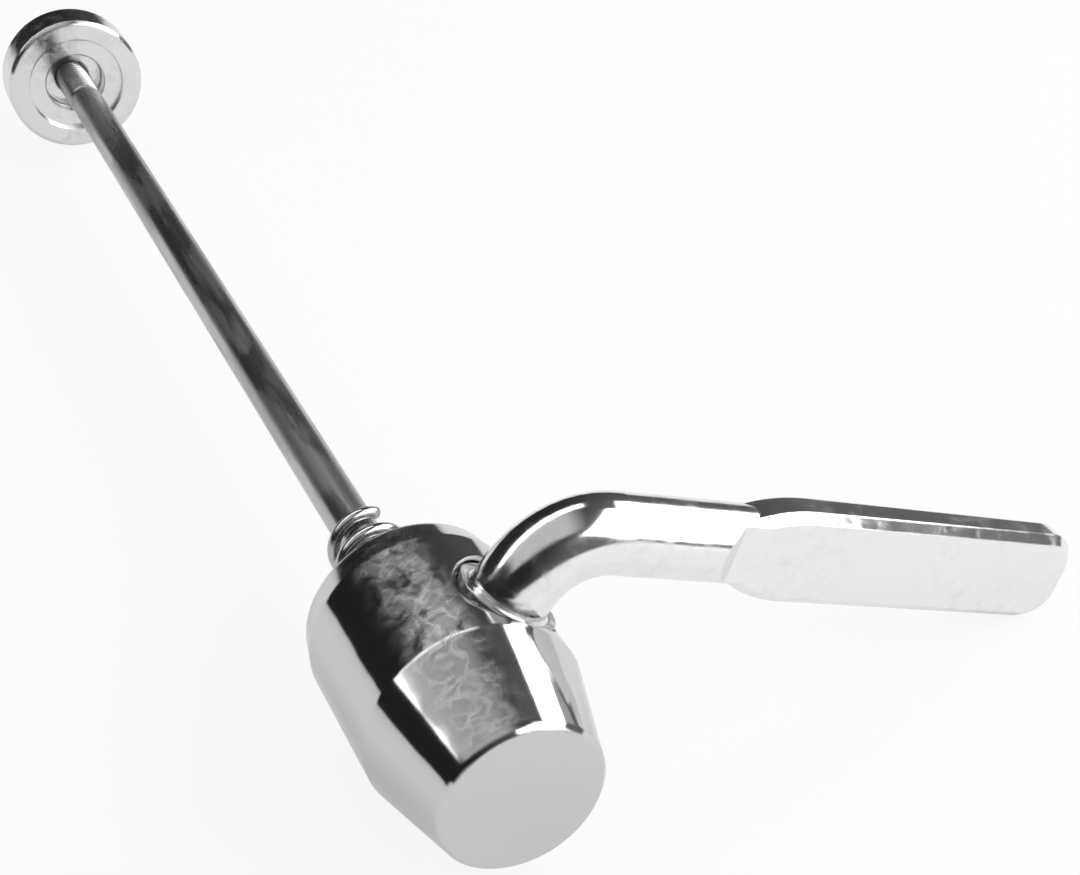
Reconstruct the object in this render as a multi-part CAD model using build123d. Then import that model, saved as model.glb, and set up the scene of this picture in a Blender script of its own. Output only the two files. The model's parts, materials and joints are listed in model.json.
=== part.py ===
from build123d import *
import os
from math import acos, atan2, cos, degrees, hypot, pi, radians, sin, sqrt

# All sizes are in millimetres.
# The rod lies along Y, with the hub-side face of the housing at Y = 0 and the nut towards +Y.
# The pieces are modelled with the cam's axis upright, and the whole skewer is then turned about the rod,
# so that it lies on the housing's side and on the tip of the lever.

# Housing
HOUSING_LENGTH = 29.0
HOUSING_RADIUS = 11.0
CONE_LENGTH = 11.2
END_FACE_RADIUS = 7.75
END_CHAMFER = 0.45
REAR_TAPER_LENGTH = 3.0
CLAMP_FACE_RADIUS = 10.35
BORE_RADIUS = 6.5
BORE_END_ROOM = 0.8
SPRING_SEAT_RADIUS = 7.5
SPRING_SEAT_DEPTH = 1.5
SPOT_FACE_DEPTH = 1.9
SPOT_FACE_GAP = 0.3

# Fits: a turning or sliding piece, a piece that passes beside another, and a pressed piece
RUNNING_FIT = 0.05
SIDE_CLEARANCE = 0.3
PRESS_GAP = 0.01

# Cam shaft, square to the rod, with the bush and the clip that hold it
CAM_FROM_FACE = 12.0
CAM_RADIUS = 2.9
CAM_THROW = 1.4
CAM_SHOULDER = 0.1
END_JOURNAL_RADIUS = 2.5
SHAFT_END_INSET = 0.2
BUSH_WALL = 0.75
BUSH_INSET = 0.6
CLIP_SEAT_DEPTH = 1.7
CLIP_SEAT_GAP = 0.7
CLIP_GROOVE_DEPTH = 0.6
CLIP_RIM = 1.7
CLIP_THICKNESS = 0.6
CLIP_MOUTH = 2.6

# Lever
ARM_RADIUS = 4.0
BEND_RISE = 7.4
BEND_ANGLE = 76.6
BEND_RADIUS = 8.4
RAMP_LENGTH = 2.4
PADDLE_START = 19.7
PADDLE_REACH = 65.0
PADDLE_WIDTH = 10.5
PADDLE_DROP = 0.25
PADDLE_THICKNESS = 4.6
PADDLE_SWELL = 8.4
PADDLE_ROOT_INSET = 0.2
TIP_THICKNESS = 4.0
TIP_ROUND = 4.0
BEVEL = 0.9

# Rod
ROD_RADIUS = 2.4
THREAD_RADIUS = 2.5
THREAD_LENGTH = 20.0
THREAD_CHAMFER = 0.4
HEAD_LENGTH = 13.6
HEAD_CHAMFER = 0.5
CAM_SLACK = 0.6

# Conical spring
WIRE_RADIUS = 0.65
WIRE_SIDES = 7
SPRING_LENGTH = 15.4
SPRING_TURNS = 3.75
SPRING_FLARE = 1.6
SPRING_STEPS = 12
SPRING_ROD_GAP = 0.25
SPRING_SEAT_GAP = 0.15

# Adjusting nut
CLAMP_SPAN = 142.5
NUT_RADIUS = 10.2
NUT_LENGTH = 14.0
NUT_RIM_LENGTH = 5.8
NUT_RIM_CHAMFER = 0.5
NUT_TIP_RADIUS = 7.0
NUT_TIP_CHAMFER = 0.5
NUT_DISH_RADIUS = 7.2
NUT_DISH_DEPTH = 0.9
NUT_RECESS_RADIUS = 4.5
NUT_RECESS_DEPTH = 3.4
ROD_END_INSET = 1.2

# Places worked out from the sizes above
JOURNAL_RADIUS = CAM_RADIUS + CAM_THROW + CAM_SHOULDER
BUSH_RADIUS = JOURNAL_RADIUS + RUNNING_FIT + BUSH_WALL
BUSH_TOP = HOUSING_RADIUS - BUSH_INSET
CAM_TOP = BORE_RADIUS + SIDE_CLEARANCE
CAM_ROOM = JOURNAL_RADIUS + SIDE_CLEARANCE
CLIP_SEAT = HOUSING_RADIUS - CLIP_SEAT_DEPTH
CLIP_RADIUS = END_JOURNAL_RADIUS + CLIP_RIM
GROOVE_RADIUS = END_JOURNAL_RADIUS - CLIP_GROOVE_DEPTH
GROOVE_TOP = -CLIP_SEAT - SIDE_CLEARANCE
GROOVE_BOTTOM = GROOVE_TOP - CLIP_THICKNESS - 2 * PRESS_GAP
HEAD_RADIUS = BORE_RADIUS - RUNNING_FIT
HEAD_CENTRE = -CAM_FROM_FACE - CAM_THROW
HEAD_START = HEAD_CENTRE - HEAD_LENGTH / 2
HEAD_FACE = HEAD_CENTRE + HEAD_LENGTH / 2
NUT_END = CLAMP_SPAN + NUT_LENGTH
ROD_END = NUT_END - ROD_END_INSET
CAM_PLACE = Pos(0, -CAM_FROM_FACE, 0)

# The lever's bend, as a corner point, the way the arm leaves it and the way up across the arm
CORNER = Vector(0, 0, HOUSING_RADIUS + BEND_RISE)
ARM_WAY = Vector(sin(radians(BEND_ANGLE)), 0, cos(radians(BEND_ANGLE)))
ARM_UP = Vector(-cos(radians(BEND_ANGLE)), 0, sin(radians(BEND_ANGLE)))
ARM_END = PADDLE_START + ARM_RADIUS
LEVER_FRONT = Plane(CORNER, x_dir=ARM_WAY, z_dir=(0, -1, 0))
LEVER_EDGE = Plane(CORNER, x_dir=ARM_WAY, z_dir=ARM_UP)

# The rest angle: the rounded lower corner of the tip lies as low as the housing's side
PADDLE_TOP = PADDLE_WIDTH / 2 - PADDLE_DROP
PADDLE_BOTTOM = -PADDLE_WIDTH / 2 - PADDLE_DROP
TIP_CENTRE = CORNER + ARM_WAY * (PADDLE_REACH - TIP_ROUND) + ARM_UP * (PADDLE_BOTTOM + TIP_ROUND)
TIP_DISTANCE = hypot(TIP_CENTRE.X, TIP_CENTRE.Z)
TIP_BEARING = atan2(TIP_CENTRE.X, TIP_CENTRE.Z)
REST_ANGLE = degrees(acos((TIP_ROUND - HOUSING_RADIUS) / TIP_DISTANCE) - TIP_BEARING)


def turned(*outline):
    """A piece turned about the rod's axis from an outline of (radius, Y) points."""
    return revolve(make_face(Polyline(*outline, close=True)), Axis.Y)


def upright(radius, bottom, top):
    """A cylinder along the cam's axis, from one height to another."""
    return Pos(0, 0, bottom) * Cylinder(radius, top - bottom, align=(Align.CENTER, Align.CENTER, Align.MIN))


def along_rod(radius, start, end):
    """A cylinder along the rod's axis, from one Y to another."""
    return Pos(0, start, 0) * Rot(-90, 0, 0) * upright(radius, 0, end - start)


def make_housing():
    body = turned(
        (0, -HOUSING_LENGTH),
        (END_FACE_RADIUS, -HOUSING_LENGTH),
        (END_FACE_RADIUS + END_CHAMFER, END_CHAMFER - HOUSING_LENGTH),
        (HOUSING_RADIUS, CONE_LENGTH - HOUSING_LENGTH),
        (HOUSING_RADIUS, -REAR_TAPER_LENGTH),
        (CLAMP_FACE_RADIUS, 0),
        (0, 0),
    )
    body -= along_rod(BORE_RADIUS, HEAD_START - BORE_END_ROOM, 0)
    body -= along_rod(SPRING_SEAT_RADIUS, -SPRING_SEAT_DEPTH, 0)
    spot_face = HOUSING_RADIUS - SPOT_FACE_DEPTH
    body -= CAM_PLACE * upright(BUSH_RADIUS + PRESS_GAP, 0, HOUSING_RADIUS)
    body -= CAM_PLACE * upright(BUSH_RADIUS + SPOT_FACE_GAP, spot_face, HOUSING_RADIUS)
    body -= CAM_PLACE * upright(CAM_ROOM, -CAM_TOP, 0)
    body -= CAM_PLACE * upright(END_JOURNAL_RADIUS + RUNNING_FIT, -HOUSING_RADIUS, 0)
    body -= CAM_PLACE * upright(CLIP_RADIUS + CLIP_SEAT_GAP, -HOUSING_RADIUS, -CLIP_SEAT)
    return body


def make_bush():
    ring = upright(BUSH_RADIUS, CAM_TOP, BUSH_TOP)
    return CAM_PLACE * (ring - upright(JOURNAL_RADIUS + RUNNING_FIT, CAM_TOP, BUSH_TOP))


def make_cam_shaft():
    shaft = upright(JOURNAL_RADIUS, CAM_TOP, BUSH_TOP)
    shaft += Pos(0, -CAM_THROW, 0) * upright(CAM_RADIUS, -BORE_RADIUS, CAM_TOP)
    shaft += upright(END_JOURNAL_RADIUS, SHAFT_END_INSET - HOUSING_RADIUS, -BORE_RADIUS)
    groove = upright(END_JOURNAL_RADIUS, GROOVE_BOTTOM, GROOVE_TOP)
    return shaft - (groove - upright(GROOVE_RADIUS, GROOVE_BOTTOM, GROOVE_TOP))


def make_arm():
    """The round bar, bent once, with its end flattened by two ramps to the paddle's thickness."""
    start = Vector(0, 0, CAM_TOP)
    path = FilletPolyline(start, CORNER, CORNER + ARM_WAY * ARM_END, radius=BEND_RADIUS)
    bar = sweep(Plane(start) * Circle(ARM_RADIUS), path)
    half = PADDLE_THICKNESS / 2
    ramp = Polyline(
        (PADDLE_START - RAMP_LENGTH, ARM_RADIUS),
        (PADDLE_START, half),
        (ARM_END, half),
        (ARM_END, ARM_RADIUS),
        close=True,
    )
    cut = extrude(LEVER_EDGE * make_face(ramp), ARM_RADIUS, both=True)
    return bar - cut - mirror(cut, Plane.XZ)


def make_paddle():
    root = sqrt(ARM_RADIUS**2 - (PADDLE_THICKNESS / 2) ** 2) - PADDLE_ROOT_INSET
    full = PADDLE_START + PADDLE_SWELL
    outline = [
        Line((PADDLE_START, -root), (PADDLE_START, root)),
        TangentArc((full, PADDLE_TOP), (PADDLE_START, root), tangent=(-1, 0)),
        Line((full, PADDLE_TOP), (PADDLE_REACH, PADDLE_TOP)),
        Line((PADDLE_REACH, PADDLE_TOP), (PADDLE_REACH, PADDLE_BOTTOM)),
        Line((PADDLE_REACH, PADDLE_BOTTOM), (full, PADDLE_BOTTOM)),
        TangentArc((full, PADDLE_BOTTOM), (PADDLE_START, -root), tangent=(-1, 0)),
    ]
    shape = make_face(outline)
    shape = fillet(shape.vertices().sort_by(Axis.X)[-2:], TIP_ROUND)
    side = Polyline(
        (PADDLE_START, PADDLE_THICKNESS / 2),
        (ARM_END, PADDLE_THICKNESS / 2),
        (PADDLE_REACH, TIP_THICKNESS / 2),
        (PADDLE_REACH, -TIP_THICKNESS / 2),
        (ARM_END, -PADDLE_THICKNESS / 2),
        (PADDLE_START, -PADDLE_THICKNESS / 2),
        close=True,
    )
    blade = extrude(LEVER_FRONT * shape, PADDLE_THICKNESS, both=True)
    blade &= extrude(LEVER_EDGE * make_face(side), PADDLE_WIDTH, both=True)
    front_and_back = blade.faces().sort_by(SortBy.AREA)[-2:]
    rims = [edge for face in front_and_back for edge in face.edges()]
    return chamfer(rims, BEVEL)


def make_lever():
    return CAM_PLACE * (make_cam_shaft() + make_arm() + make_paddle())


def make_clip():
    top = GROOVE_TOP - PRESS_GAP
    bottom = top - CLIP_THICKNESS
    ring = upright(CLIP_RADIUS, bottom, top) - upright(GROOVE_RADIUS + PRESS_GAP, bottom, top)
    mouth = Pos(0, CLIP_RADIUS, (top + bottom) / 2) * Box(CLIP_MOUTH, 2 * CLIP_RADIUS, CLIP_THICKNESS)
    return CAM_PLACE * (ring - mouth)


def make_rod():
    thread_start = ROD_END - THREAD_LENGTH
    rod = turned(
        (0, HEAD_START),
        (HEAD_RADIUS - HEAD_CHAMFER, HEAD_START),
        (HEAD_RADIUS, HEAD_START + HEAD_CHAMFER),
        (HEAD_RADIUS, HEAD_FACE),
        (ROD_RADIUS, HEAD_FACE),
        (ROD_RADIUS, thread_start),
        (THREAD_RADIUS, thread_start + THREAD_RADIUS - ROD_RADIUS),
        (THREAD_RADIUS, ROD_END - THREAD_CHAMFER),
        (THREAD_RADIUS - THREAD_CHAMFER, ROD_END),
        (0, ROD_END),
    )
    slot = SlotCenterToCenter(CAM_THROW, 2 * (CAM_RADIUS + CAM_SLACK))
    slot = Pos(-CAM_THROW / 2, HEAD_CENTRE, 0) * slot
    return rod - extrude(slot, HEAD_RADIUS, both=True)


def make_spring():
    big = SPRING_SEAT_RADIUS - SPRING_SEAT_GAP - WIRE_RADIUS
    small = ROD_RADIUS + SPRING_ROD_GAP + WIRE_RADIUS
    start = WIRE_RADIUS - SPRING_SEAT_DEPTH
    rise = SPRING_LENGTH - 2 * WIRE_RADIUS
    count = round(SPRING_TURNS * SPRING_STEPS)
    points = []
    for i in range(count + 1):
        share = i / count
        radius = small + (big - small) * (1 - share) ** SPRING_FLARE
        turn = 2 * pi * SPRING_TURNS * share
        points.append((radius * cos(turn), start + rise * share, -radius * sin(turn)))
    path = Polyline(*points)
    return sweep((path ^ 0) * RegularPolygon(WIRE_RADIUS, WIRE_SIDES), path, transition=Transition.RIGHT)


def make_nut():
    bore = THREAD_RADIUS + RUNNING_FIT
    return turned(
        (bore, CLAMP_SPAN + NUT_RECESS_DEPTH),
        (NUT_RECESS_RADIUS, CLAMP_SPAN + NUT_RECESS_DEPTH),
        (NUT_RECESS_RADIUS, CLAMP_SPAN + NUT_DISH_DEPTH),
        (NUT_DISH_RADIUS, CLAMP_SPAN + NUT_DISH_DEPTH),
        (NUT_DISH_RADIUS, CLAMP_SPAN),
        (NUT_RADIUS - NUT_RIM_CHAMFER, CLAMP_SPAN),
        (NUT_RADIUS, CLAMP_SPAN + NUT_RIM_CHAMFER),
        (NUT_RADIUS, CLAMP_SPAN + NUT_RIM_LENGTH),
        (NUT_TIP_RADIUS, NUT_END - NUT_TIP_CHAMFER),
        (NUT_TIP_RADIUS - NUT_TIP_CHAMFER, NUT_END),
        (bore, NUT_END),
    )


PIECES = {
    "housing": make_housing,
    "lever_bush": make_bush,
    "cam_lever": make_lever,
    "retaining_clip": make_clip,
    "skewer_rod": make_rod,
    "lever_spring": make_spring,
    "adjusting_nut": make_nut,
}

os.makedirs("parts", exist_ok=True)
for name, make in PIECES.items():
    export_step(make().rotate(Axis.Y, REST_ANGLE), f"parts/{name}.step")
print(f"turned {REST_ANGLE:.2f} degrees about the rod to its rest")
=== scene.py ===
import json
import math

import bmesh
import bpy
from mathutils import Matrix, Vector

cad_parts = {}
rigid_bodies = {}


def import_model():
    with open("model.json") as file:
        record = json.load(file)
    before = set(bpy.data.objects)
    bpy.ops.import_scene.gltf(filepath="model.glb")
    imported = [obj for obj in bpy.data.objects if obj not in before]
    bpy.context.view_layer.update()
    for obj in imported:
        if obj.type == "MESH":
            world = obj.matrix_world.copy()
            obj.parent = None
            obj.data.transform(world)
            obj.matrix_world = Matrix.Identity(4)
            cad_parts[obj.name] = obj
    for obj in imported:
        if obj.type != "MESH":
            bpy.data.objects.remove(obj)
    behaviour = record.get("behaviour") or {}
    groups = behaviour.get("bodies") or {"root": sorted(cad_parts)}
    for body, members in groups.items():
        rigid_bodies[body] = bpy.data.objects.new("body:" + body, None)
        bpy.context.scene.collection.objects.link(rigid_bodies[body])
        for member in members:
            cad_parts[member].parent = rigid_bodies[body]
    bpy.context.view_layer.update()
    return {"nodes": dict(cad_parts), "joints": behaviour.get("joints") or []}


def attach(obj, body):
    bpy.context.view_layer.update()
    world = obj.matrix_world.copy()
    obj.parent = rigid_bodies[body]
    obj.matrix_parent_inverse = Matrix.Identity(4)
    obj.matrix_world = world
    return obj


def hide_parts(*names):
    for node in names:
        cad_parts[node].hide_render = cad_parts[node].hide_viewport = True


MM = 0.001

# Sizes that the scene shares with the solids, in millimetres
HOUSING_RADIUS = 11.0
HEAD_FACE = -6.6
ROD_RADIUS = 2.4
ROD_END = 155.3
THREAD_RADIUS = 2.5
THREAD_LENGTH = 20.0
THREAD_CHAMFER = 0.4
SPRING_START = -0.85
SPRING_RISE = 14.1
SPRING_TURNS = 3.75
SPRING_FLARE = 1.6
SPRING_BIG = 6.7
SPRING_SMALL = 3.3
WIRE_RADIUS = 0.65

# The rolled thread, in millimetres
PITCH = 0.8
THREAD_DEPTH = 0.42
RUN_OUT = 1.6

# Where the thread's crest ends and its root begins, from 0 in mid crest to 1 in mid root
CREST = 0.16
ROOT = 0.7

# The meshes of the rod and the spring, with lengths in millimetres
ROWS_PER_PITCH = 10
ROD_SIDES = 64
STEPS_PER_TURN = 48
WIRE_SIDES = 14
HEAD_MARGIN = 0.01
WELD = 0.001
SHARP_ANGLE = math.radians(25)

# Noise in the finishes, with scales per metre
PATCHES = {"Scale": 75, "Detail": 3, "Roughness": 0.5}
CLOUDS = {"Scale": 560, "Detail": 4, "Roughness": 0.55, "Distortion": 0.5}
VEINS = {"Scale": 480, "Detail": 2, "Roughness": 0.5, "Distortion": 0.6}
WAVES = {"Scale": 150, "Detail": 1, "Roughness": 0.5}
STREAKS = {"Scale": 1800, "Detail": 4, "Roughness": 0.6}
DASHES = {"Scale": 420, "Detail": 3, "Roughness": 0.5, "Distortion": 0.3}

# Where the patterns begin and end in their noise
PATCH_RANGE = (0.38, 0.62)
STREAK_RANGE = (0.35, 0.75)
DASH_RANGE = (0.4, 0.62)
VEIN_MIDDLE = 0.5
VEIN_WIDTH = 0.09

# Streaks and dashes run along the rod, and share out the steel's dull part
STREAK_STRETCH = (1, 0.03, 1)
DASH_STRETCH = (1, 0.16, 1)
STREAK_SHARE = 0.35
DASH_SHARE = 0.65

# Relief, edges and film
WAVE_RELIEF = {"Strength": 1.0, "Distance": 0.1 * MM}
STREAK_RELIEF = {"Strength": 0.12, "Distance": 0.02 * MM}
EDGE_SAMPLES = 6
FILM_ONSET = 0.6

# The housing's worn side: radians round the rod from straight up, and metres along it
WORN_LEFT = (-0.86, -0.42)
WORN_RIGHT = (0.3, -0.1)
WORN_END = (-28.4 * MM, -27.8 * MM)

# The floor, and the shares of plain white that the camera and the metal see in it
FLOOR_REACH = 6
FLOOR_GREY = 0.86
FLOOR_ROUGHNESS = 0.9
WHITE_SEEN = 0.88
WHITE_MIRRORED = 0.45

# The room's grey rises along one way
ROOM_WAY = (0.8, -0.3, 0.0)
ROOM_RANGE = (-0.3, 0.8)
ROOM_GREYS = (0.02, 0.16)

# The ceiling's ends in radians from the back, and its sides as parts of a direction
CEILING_BACK = (0.9, 0.95)
CEILING_FRONT = (2.25, 2.05)
CEILING_LEFT = (-0.88, -0.76)
CEILING_FADE = (-0.05, 0.3)
CEILING_GREYS = (0.55, 0.06)

# The low wall's sides and top, as parts of a direction
WALL_NEAR = (0.2, 0.4)
WALL_FAR = (0.6, 0.52)
WALL_LEFT = (0.6, 0.7)
WALL_TOP = (0.42, 0.38)
WALL_GREY = 0.5

# The strip lamp behind the part
STRIP_PLACE = (-0.38, 0.34, 0.496)
STRIP_WAY = (0, -0.34, -0.496)
STRIP_SIZE = (1.16, 0.14)
STRIP_BRIGHTNESS = 2.6

# The window's middle, and each pane's ends and edges from there
WINDOW_MIDDLE = (0.446, -0.136, 0.3)
WINDOW_PANES = [
    ("far_pane", (0.18, 0.5), (-0.09, 0.2)),
    ("middle_pane", (-0.11, 0.18), (-0.09, 0.31)),
    ("near_pane", (-0.5, -0.11), (-0.25, 0.31)),
]
WINDOW_BRIGHTNESS = 3.5

# The photo's camera, with its lens and sensor in millimetres
CAMERA_PLACE = (-0.05265, -0.14212, 0.11903)
CAMERA_RIGHT = (0.91129, -0.41100, 0.02429)
CAMERA_UP = (0.20543, 0.50490, 0.83833)
CAMERA_BACK = (-0.35685, -0.75900, 0.54458)
LENS = 64.33
SENSOR_WIDTH = 36.0

for old in list(bpy.data.objects):
    bpy.data.objects.remove(old)

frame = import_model()
nodes = frame["nodes"]
pivot = next(joint for joint in frame["joints"] if joint["name"] == "lever_pivot")
REST_ANGLE = math.atan2(-pivot["axis"][0], -pivot["axis"][2])


# Materials

def new_material(name):
    material = bpy.data.materials.new(name)
    material.use_nodes = True
    tree = material.node_tree
    return material, tree, tree.nodes["Principled BSDF"]


def put(tree, kind, inputs=None, **settings):
    """Adds a node with its settings, each input either a value or another node's output."""
    node = tree.nodes.new(kind)
    for key, value in settings.items():
        setattr(node, key, value)
    for key, value in (inputs or {}).items():
        if isinstance(value, bpy.types.NodeSocket):
            tree.links.new(value, node.inputs[key])
        else:
            node.inputs[key].default_value = value
    return node


def places(tree, stretch=(1, 1, 1)):
    """The surface's own place in the object's frame, stretched along each axis."""
    coords = put(tree, "ShaderNodeTexCoord").outputs["Object"]
    inputs = {"Vector": coords, "Scale": stretch}
    return put(tree, "ShaderNodeMapping", inputs).outputs["Vector"]


def noise(tree, where, pattern):
    return put(tree, "ShaderNodeTexNoise", {"Vector": where, **pattern}).outputs["Fac"]


def spread(tree, value, low, high, bottom=0.0, top=1.0):
    """Carries a value's range from low to high over to bottom and top, with soft ends."""
    inputs = {"Value": value, "From Min": low, "From Max": high, "To Min": bottom, "To Max": top}
    node = put(tree, "ShaderNodeMapRange", inputs, interpolation_type="SMOOTHSTEP")
    return node.outputs["Result"]


def maths(tree, operation, first, second=0.0):
    return put(tree, "ShaderNodeMath", {0: first, 1: second}, operation=operation).outputs[0]


def product(tree, first, *others):
    for other in others:
        first = maths(tree, "MULTIPLY", first, other)
    return first


def grey(level):
    return (level, level, level, 1)


def blend_greys(tree, share, first, second):
    inputs = {0: share, 6: grey(first), 7: grey(second)}
    return put(tree, "ShaderNodeMix", inputs, data_type="RGBA").outputs[2]


def eased_normal(tree, edge, height, relief):
    """The surface's normal with its edges eased and a fine relief on top."""
    eased = put(tree, "ShaderNodeBevel", {"Radius": edge}, samples=EDGE_SAMPLES).outputs["Normal"]
    inputs = {"Height": height, "Normal": eased, **relief}
    return put(tree, "ShaderNodeBump", inputs).outputs["Normal"]


def link_metal(tree, shader, colour, roughness, normal):
    tree.links.new(colour, shader.inputs["Base Color"])
    tree.links.new(roughness, shader.inputs["Roughness"])
    tree.links.new(normal, shader.inputs["Normal"])
    shader.inputs["Metallic"].default_value = 1.0


def handled_top(tree, where):
    """1 on the housing's upper left side, where it is worn, and 0 on the rest of it."""
    place = put(tree, "ShaderNodeSeparateXYZ", {"Vector": where}).outputs
    round_the_rod = maths(tree, "ARCTAN2", place["X"], place["Z"])
    return product(
        tree,
        spread(tree, round_the_rod, *WORN_LEFT),
        spread(tree, round_the_rod, *WORN_RIGHT),
        spread(tree, place["Y"], *WORN_END),
    )


def patches(tree, where):
    """1 on some patches of the surface, wherever they are, and 0 between them."""
    return spread(tree, noise(tree, where, PATCHES), *PATCH_RANGE)


def plating(name, clean, hazed, smooth, rough, haze, edge, worn=patches):
    """Bright plating whose worn part has a thin cloudy film with clear veins in it.

    The film begins and ends at haze's two values of the noise.
    """
    material, tree, shader = new_material(name)
    where = places(tree)
    handled = worn(tree, where)
    clouds = spread(tree, noise(tree, where, CLOUDS), *haze)
    film = product(tree, clouds, handled)
    off_vein = maths(tree, "SUBTRACT", noise(tree, where, VEINS), VEIN_MIDDLE)
    off_vein = maths(tree, "ABSOLUTE", off_vein)
    veins = product(tree, spread(tree, off_vein, VEIN_WIDTH, 0.0), handled)
    shown = product(tree, film, maths(tree, "SUBTRACT", 1.0, veins))
    colour = blend_greys(tree, shown, clean, hazed)
    dulled = maths(tree, "POWER", film, FILM_ONSET)
    roughness = spread(tree, dulled, 0, 1, smooth, rough)
    normal = eased_normal(tree, edge, noise(tree, where, WAVES), WAVE_RELIEF)
    link_metal(tree, shader, colour, roughness, normal)
    return material


def drawn_steel(name, light, dark, smooth, rough, edge):
    """Steel drawn along the rod, with fine long streaks and broad dull dashes."""
    material, tree, shader = new_material(name)
    streaks = noise(tree, places(tree, STREAK_STRETCH), STREAKS)
    dashes = noise(tree, places(tree, DASH_STRETCH), DASHES)
    dull = maths(
        tree,
        "ADD",
        spread(tree, streaks, *STREAK_RANGE, top=STREAK_SHARE),
        spread(tree, dashes, *DASH_RANGE, top=DASH_SHARE),
    )
    colour = blend_greys(tree, dull, light, dark)
    roughness = spread(tree, dull, 0, 1, smooth, rough)
    normal = eased_normal(tree, edge, streaks, STREAK_RELIEF)
    link_metal(tree, shader, colour, roughness, normal)
    return material


housing_plating = plating(
    "worn_plating",
    clean=0.62, hazed=0.25, smooth=0.07, rough=0.34, haze=(0.15, 0.9), edge=0.5 * MM,
    worn=handled_top,
)
lever_plating = plating(
    "lever_plating",
    clean=0.86, hazed=0.8, smooth=0.11, rough=0.24, haze=(0.4, 0.75), edge=0.3 * MM,
)
nut_plating = plating(
    "nut_plating",
    clean=0.78, hazed=0.68, smooth=0.14, rough=0.3, haze=(0.4, 0.75), edge=0.5 * MM,
)
rod_steel = drawn_steel(
    "rod_steel",
    light=0.52, dark=0.44, smooth=0.24, rough=0.4, edge=0.2 * MM,
)
spring_steel = drawn_steel(
    "spring_steel",
    light=0.68, dark=0.45, smooth=0.12, rough=0.3, edge=0.1 * MM,
)
bush_steel = plating(
    "bush_steel",
    clean=0.66, hazed=0.5, smooth=0.14, rough=0.4, haze=(0.35, 0.7), edge=0.2 * MM,
)
clip_steel = plating(
    "clip_steel",
    clean=0.2, hazed=0.12, smooth=0.3, rough=0.5, haze=(0.35, 0.7), edge=0.1 * MM,
)

finishes = {
    "housing": housing_plating,
    "cam_lever": lever_plating,
    "adjusting_nut": nut_plating,
    "skewer_rod": rod_steel,
    "lever_spring": spring_steel,
    "lever_bush": bush_steel,
    "retaining_clip": clip_steel,
}
for name, finish in finishes.items():
    nodes[name].data.materials.clear()
    nodes[name].data.materials.append(finish)


# The rod, with its rolled thread

def groove(turns):
    """How deep the thread is cut at a number of turns, from 0 at its crest to 1 at its root."""
    off_crest = abs(turns % 1 - 0.5) * 2
    return min(1.0, max(0.0, (off_crest - CREST) / (ROOT - CREST)))


def rod_radius(along, angle):
    start = ROD_END - THREAD_LENGTH
    if along <= start:
        return ROD_RADIUS
    rise = min(1.0, (along - start) / RUN_OUT)
    cut = THREAD_DEPTH * rise * groove(along / PITCH + angle / math.tau)
    body = ROD_RADIUS + (THREAD_RADIUS - ROD_RADIUS) * rise
    return min(body - cut, THREAD_RADIUS - THREAD_CHAMFER + ROD_END - along)


def ring(mesh, along):
    """The points round the rod at one place along it."""
    points = []
    for side in range(ROD_SIDES):
        angle = math.tau * side / ROD_SIDES
        radius = rod_radius(along, angle)
        point = Vector((radius * math.sin(angle), along, radius * math.cos(angle)))
        points.append(mesh.verts.new(point * MM))
    return points


def skin(mesh, first, second):
    """Closes the band between two rings of the same number of points."""
    count = len(first)
    for i in range(count):
        j = (i + 1) % count
        face = mesh.faces.new((first[i], first[j], second[j], second[i]))
        face.smooth = True


def make_piece(name, mesh, finish):
    bmesh.ops.recalc_face_normals(mesh, faces=mesh.faces)
    data = bpy.data.meshes.new(name)
    mesh.to_mesh(data)
    mesh.free()
    data.materials.append(finish)
    piece = bpy.data.objects.new(name, data)
    bpy.context.scene.collection.objects.link(piece)
    return piece


def make_rod():
    """The solid's own head, with a new shank and its thread."""
    mesh = bmesh.new()
    mesh.from_mesh(nodes["skewer_rod"].data)
    head_end = (HEAD_FACE + HEAD_MARGIN) * MM
    shank = [face for face in mesh.faces if max(vert.co.y for vert in face.verts) > head_end]
    bmesh.ops.delete(mesh, geom=shank, context="FACES")
    bmesh.ops.remove_doubles(mesh, verts=mesh.verts, dist=WELD * MM)
    for edge in mesh.edges:
        edge.smooth = edge.is_manifold and edge.calc_face_angle() < SHARP_ANGLE
    start = ROD_END - THREAD_LENGTH
    rows = round(THREAD_LENGTH / PITCH * ROWS_PER_PITCH)
    stations = [HEAD_FACE] + [start + THREAD_LENGTH * i / rows for i in range(rows + 1)]
    rings = [ring(mesh, along) for along in stations]
    for first, second in zip(rings, rings[1:]):
        skin(mesh, first, second)
    mesh.faces.new(rings[-1])
    return make_piece("rod_with_thread", mesh, rod_steel)


rod = make_rod()
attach(rod, "rod_body")
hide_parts("skewer_rod")


# The spring, in round wire

def spring_point(share):
    """The wire's middle at a share of the spring's rise."""
    radius = SPRING_SMALL + (SPRING_BIG - SPRING_SMALL) * max(0.0, 1 - share) ** SPRING_FLARE
    turn = math.tau * SPRING_TURNS * share
    along = SPRING_START + SPRING_RISE * share
    point = Vector((radius * math.cos(turn), along, -radius * math.sin(turn)))
    return Matrix.Rotation(REST_ANGLE, 3, "Y") @ point


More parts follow.
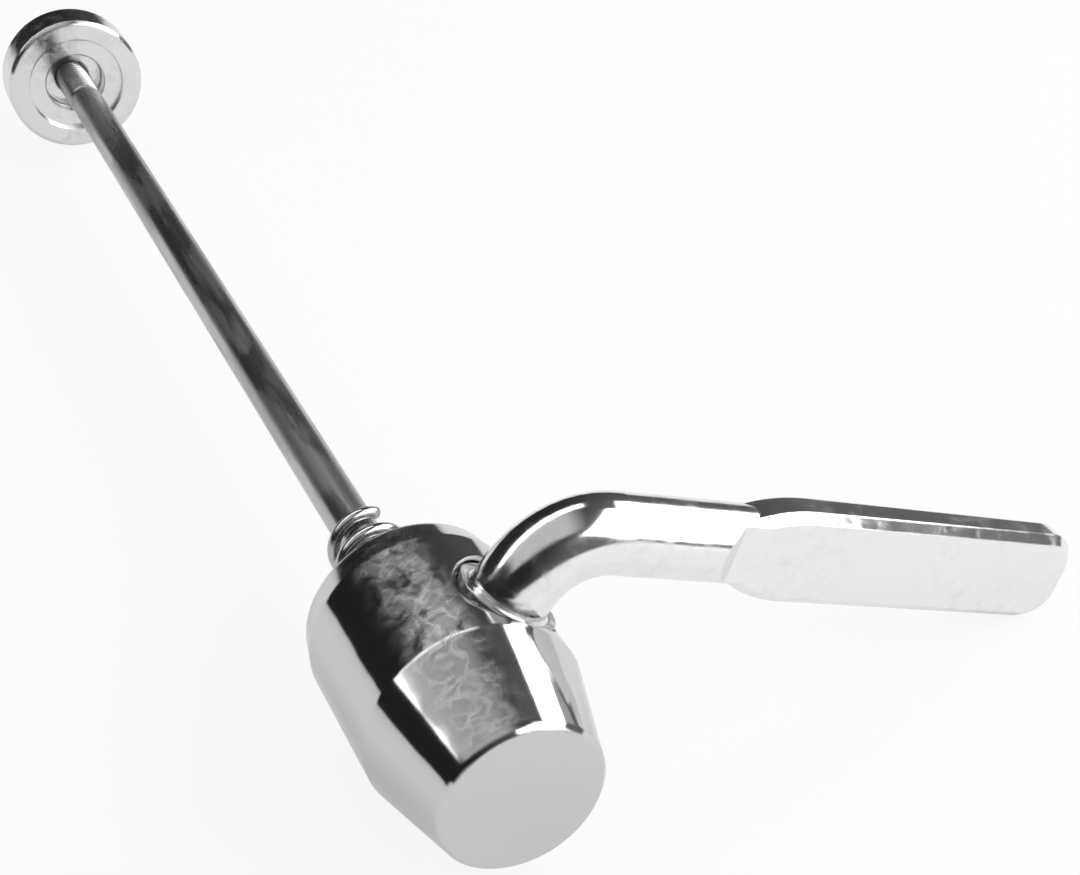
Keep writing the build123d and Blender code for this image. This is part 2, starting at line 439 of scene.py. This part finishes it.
def make_spring():
    mesh = bmesh.new()
    count = round(SPRING_TURNS * STEPS_PER_TURN)
    rings = []
    for i in range(count + 1):
        point = spring_point(i / count)
        before = spring_point((i - 0.5) / count)
        after = spring_point((i + 0.5) / count)
        along = (after - before).normalized()
        out = Vector((point.x, 0, point.z)).normalized()
        across = along.cross(out).normalized()
        out = across.cross(along)
        wire = []
        for side in range(WIRE_SIDES):
            angle = math.tau * side / WIRE_SIDES
            offset = out * math.cos(angle) + across * math.sin(angle)
            wire.append(mesh.verts.new((point + offset * WIRE_RADIUS) * MM))
        rings.append(wire)
    for first, second in zip(rings, rings[1:]):
        skin(mesh, first, second)
    mesh.faces.new(rings[0])
    mesh.faces.new(rings[-1])
    return make_piece("round_wire_spring", mesh, spring_steel)


spring = make_spring()
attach(spring, "housing_body")
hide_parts("lever_spring")


# Floor, light and camera

def make_floor():
    """A pale floor that the camera and the metal see as nearly white, with the part's shadow."""
    material, tree, shader = new_material("pale_floor")
    shader.inputs["Base Color"].default_value = grey(FLOOR_GREY)
    shader.inputs["Roughness"].default_value = FLOOR_ROUGHNESS
    shader.inputs["Specular IOR Level"].default_value = 0.0
    path = put(tree, "ShaderNodeLightPath").outputs
    seen = product(tree, path["Is Camera Ray"], WHITE_SEEN)
    mirrored = maths(tree, "MAXIMUM", path["Is Glossy Ray"], path["Is Transmission Ray"])
    share = maths(tree, "MAXIMUM", seen, product(tree, mirrored, WHITE_MIRRORED))
    white = put(tree, "ShaderNodeEmission", {"Color": grey(1), "Strength": 1.0}).outputs["Emission"]
    mixed = put(tree, "ShaderNodeMixShader", {0: share, 1: shader.outputs["BSDF"], 2: white})
    tree.links.new(mixed.outputs["Shader"], tree.nodes["Material Output"].inputs["Surface"])
    mesh = bmesh.new()
    bmesh.ops.create_grid(mesh, x_segments=1, y_segments=1, size=FLOOR_REACH)
    floor = make_piece("floor", mesh, material)
    floor.location.z = -HOUSING_RADIUS * MM


def make_world():
    """A dim room, darkest on the left, with a pale ceiling that fades to the right.

    There is a low pale wall on the right.
    """
    world = bpy.data.worlds.new("studio")
    world.use_nodes = True
    tree = world.node_tree
    where = put(tree, "ShaderNodeTexCoord").outputs["Generated"]
    way = put(tree, "ShaderNodeSeparateXYZ", {"Vector": where}).outputs
    inputs = {0: where, 1: ROOM_WAY}
    side = put(tree, "ShaderNodeVectorMath", inputs, operation="DOT_PRODUCT").outputs["Value"]
    room = spread(tree, side, *ROOM_RANGE, *ROOM_GREYS)
    rise = maths(tree, "ARCTAN2", way["Z"], way["Y"])
    ceiling = product(
        tree,
        spread(tree, rise, *CEILING_BACK),
        spread(tree, rise, *CEILING_FRONT),
        spread(tree, way["X"], *CEILING_LEFT),
        spread(tree, way["X"], *CEILING_FADE, *CEILING_GREYS),
    )
    wall = product(
        tree,
        spread(tree, way["Y"], *WALL_NEAR),
        spread(tree, way["Y"], *WALL_FAR),
        spread(tree, way["X"], *WALL_LEFT),
        spread(tree, way["Z"], *WALL_TOP, top=WALL_GREY),
    )
    colour = maths(tree, "MAXIMUM", maths(tree, "MAXIMUM", room, ceiling), wall)
    tree.links.new(colour, tree.nodes["Background"].inputs["Color"])
    bpy.context.scene.world = world


def add_softbox(name, place, way, width, height, brightness):
    """A rectangular lamp at a place, shining one way."""
    data = bpy.data.lights.new(name, "AREA")
    data.shape = "RECTANGLE"
    data.size = width
    data.size_y = height
    data.energy = brightness * math.pi * width * height
    lamp = bpy.data.objects.new(name, data)
    lamp.location = place
    lamp.rotation_euler = Vector(way).to_track_quat("-Z", "Y").to_euler()
    bpy.context.scene.collection.objects.link(lamp)


def add_window():
    """A window on the right, of three panes side by side."""
    middle = Vector(WINDOW_MIDDLE)
    along = Vector((0, 0, 1)).cross(middle).normalized()
    up = middle.cross(along).normalized()
    for name, (near, far), (bottom, top) in WINDOW_PANES:
        place = middle + along * (near + far) / 2 + up * (bottom + top) / 2
        add_softbox(name, place, -middle, far - near, top - bottom, WINDOW_BRIGHTNESS)


def add_camera():
    data = bpy.data.cameras.new("camera")
    data.sensor_fit = "HORIZONTAL"
    data.sensor_width = SENSOR_WIDTH
    data.lens = LENS
    camera = bpy.data.objects.new("camera", data)
    turn = Matrix((CAMERA_RIGHT, CAMERA_UP, CAMERA_BACK)).transposed().to_4x4()
    camera.matrix_world = Matrix.Translation(CAMERA_PLACE) @ turn
    bpy.context.scene.collection.objects.link(camera)
    bpy.context.scene.camera = camera


make_floor()
make_world()
add_softbox("back_strip", STRIP_PLACE, STRIP_WAY, *STRIP_SIZE, STRIP_BRIGHTNESS)
add_window()
add_camera()
bpy.context.scene.view_settings.view_transform = "Standard"
